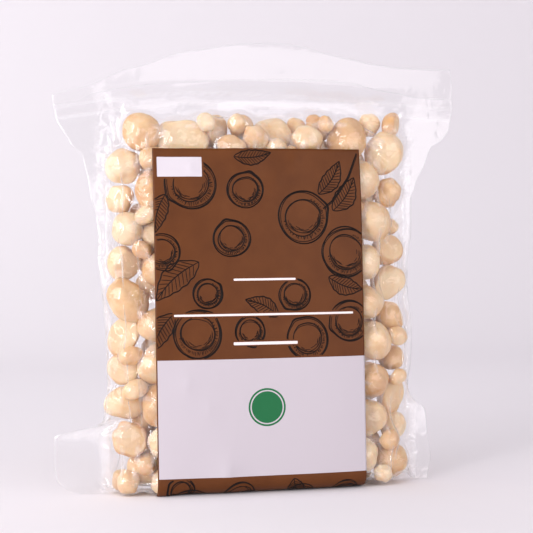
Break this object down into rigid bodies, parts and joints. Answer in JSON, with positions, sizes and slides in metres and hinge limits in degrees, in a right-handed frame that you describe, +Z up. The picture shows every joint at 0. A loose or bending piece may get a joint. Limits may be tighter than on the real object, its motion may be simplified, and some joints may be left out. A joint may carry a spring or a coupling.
{
  "type": "vacuum-sealed pouch of shelled macadamia kernels",
  "caption": "Clear vacuum pouch packed with pale round shelled macadamia kernels, standing on its folded base, with a paper label round its front and base.",
  "frame": {"origin": "under the middle of the pack, on the surface that it stands on", "axes": "+Z up, the label's front faces -Y, +X along the pack's width"},
  "size_m": [0.2, 0.0406, 0.216],
  "materials": {
    "film": "clear and glossy, creased where it is drawn in between the kernels",
    "label": "coated paper, printed brown over a pale field, soft sheen",
    "kernel": "cream to golden nut flesh, smooth and slightly oily"
  },
  "bodies": {
    "root": {"film_front": "film", "film_back": "film", "label": "label", "kernel_top_1": "kernel", "kernel_top_2": "kernel", "kernel_top_3": "kernel", "kernel_top_4": "kernel", "kernel_top_5": "kernel", "kernel_top_6": "kernel", "kernel_top_7": "kernel", "kernel_top_8": "kernel", "kernel_top_9": "kernel", "kernel_right_1": "kernel", "kernel_right_2": "kernel", "kernel_right_3": "kernel", "kernel_right_4": "kernel", "kernel_right_5": "kernel", "kernel_right_6": "kernel", "kernel_right_7": "kernel", "kernel_right_8": "kernel", "kernel_right_9": "kernel", "kernel_right_10": "kernel", "kernel_right_11": "kernel", "kernel_right_12": "kernel", "kernel_right_13": "kernel", "kernel_right_14": "kernel", "kernel_right_15": "kernel", "kernel_right_16": "kernel", "kernel_left_1": "kernel", "kernel_left_2": "kernel", "kernel_left_3": "kernel", "kernel_left_4": "kernel", "kernel_left_5": "kernel", "kernel_left_6": "kernel", "kernel_left_7": "kernel", "kernel_left_8": "kernel", "kernel_left_9": "kernel", "kernel_left_10": "kernel", "kernel_left_11": "kernel", "kernel_left_12": "kernel", "kernel_left_13": "kernel", "kernel_left_14": "kernel", "kernel_left_15": "kernel", "kernel_left_16": "kernel", "kernel_left_17": "kernel", "kernels_front_1": "kernel", "kernels_front_2": "kernel", "kernels_front_3": "kernel", "kernels_front_4": "kernel", "kernels_front_5": "kernel", "kernels_back_1": "kernel", "kernels_back_2": "kernel", "kernels_back_3": "kernel", "kernels_back_4": "kernel", "kernels_back_5": "kernel"}
  },
  "joints": []
}
